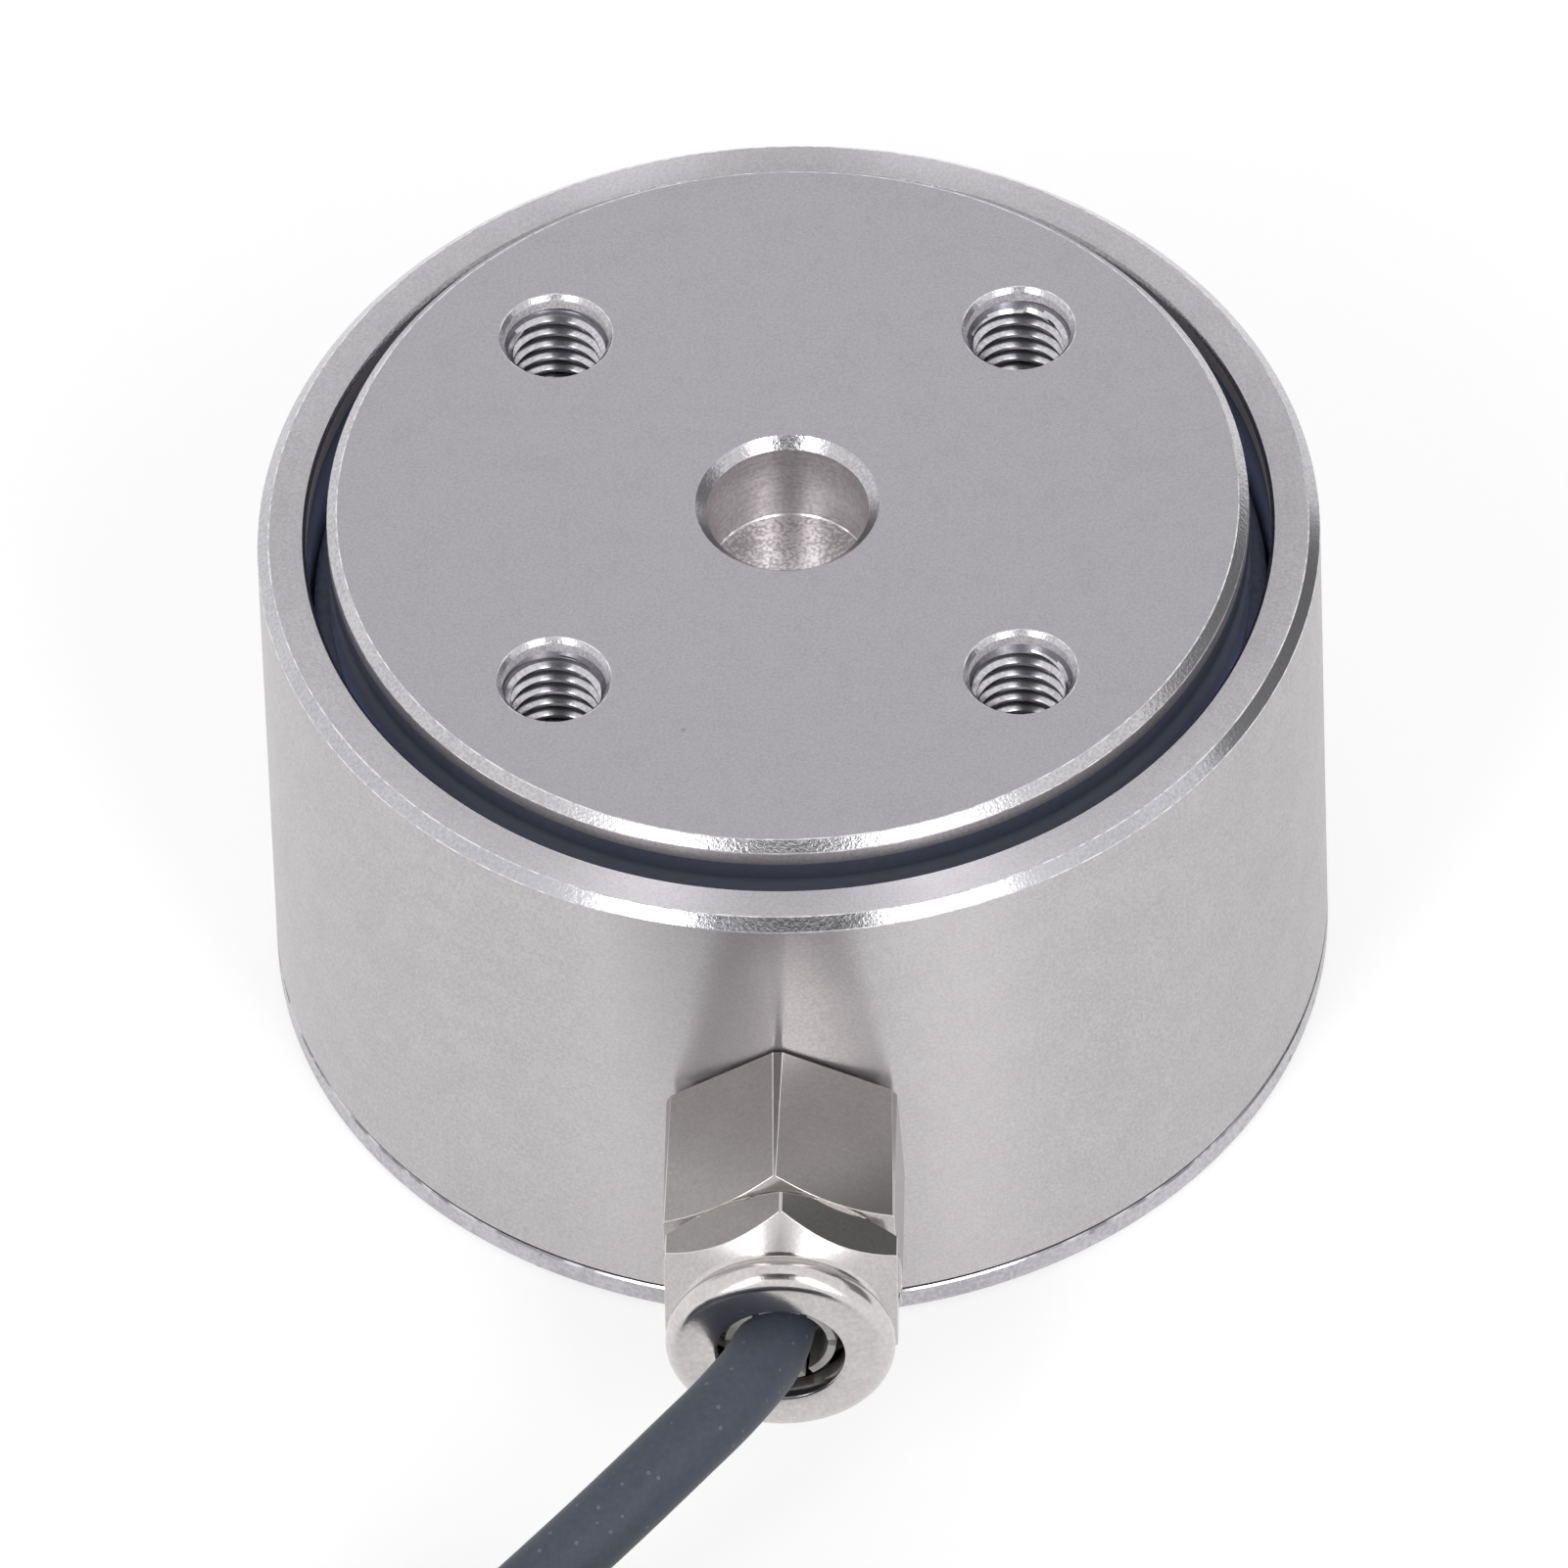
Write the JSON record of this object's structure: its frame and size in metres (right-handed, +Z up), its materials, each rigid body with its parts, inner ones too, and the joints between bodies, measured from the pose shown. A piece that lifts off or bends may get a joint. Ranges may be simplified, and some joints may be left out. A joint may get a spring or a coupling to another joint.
{
  "type": "column load cell",
  "caption": "Low drum-shaped compression load cell with a tapped loading head, a side cable gland and a coiled signal lead.",
  "frame": {"origin": "on the drum's axis at the base plane that it stands on", "axes": "+Z up along the load axis, out of the loading head; -Y out along the cable gland"},
  "size_m": [0.0812, 0.1634, 0.0356],
  "materials": {
    "steel": "fine matt blasted stainless steel with turned edges",
    "turned_steel": "satin turned stainless steel, brushed round the drum",
    "nickel": "satin nickel plating over brass",
    "black_rubber": "matt black",
    "nylon": "natural translucent nylon",
    "gauge_film": "amber polyimide film",
    "board_green": "satin green board",
    "resistor_blue": "satin blue",
    "cable_jacket": "matt dark blue-grey jacket",
    "tie_black": "satin black",
    "wire_red": "smooth",
    "wire_black": "smooth",
    "wire_green": "smooth",
    "wire_white": "smooth"
  },
  "bodies": {
    "root": {"load_column": "steel", "housing_sleeve": "turned_steel", "gap_seal": "black_rubber", "base_seal": "black_rubber", "gland_body": "nickel", "gland_nut": "nickel", "port_ring": "black_rubber", "gland_seal": "black_rubber", "clamp_claw": "nylon", "strain_gauge_1": "gauge_film", "strain_gauge_2": "gauge_film", "strain_gauge_3": "gauge_film", "strain_gauge_4": "gauge_film", "gauge_ribbon_1": "gauge_film", "gauge_ribbon_2": "gauge_film", "gauge_ribbon_3": "gauge_film", "gauge_ribbon_4": "gauge_film", "circuit_board": "board_green", "board_spacer_1": "nylon", "board_spacer_2": "nylon", "board_spacer_3": "nylon", "board_spacer_4": "nylon", "trim_resistor_1": "resistor_blue", "trim_resistor_2": "resistor_blue", "trim_resistor_3": "resistor_blue", "trim_resistor_4": "resistor_blue", "conductor_red": "wire_red", "conductor_black": "wire_black", "conductor_green": "wire_green", "conductor_white": "wire_white", "cable": "cable_jacket", "cable_coil": "cable_jacket", "cable_end": "cable_jacket", "coil_tie": "tie_black", "end_sleeve": "tie_black", "lead_red": "wire_red", "lead_black": "wire_black", "lead_green": "wire_green", "lead_white": "wire_white"}
  },
  "joints": []
}
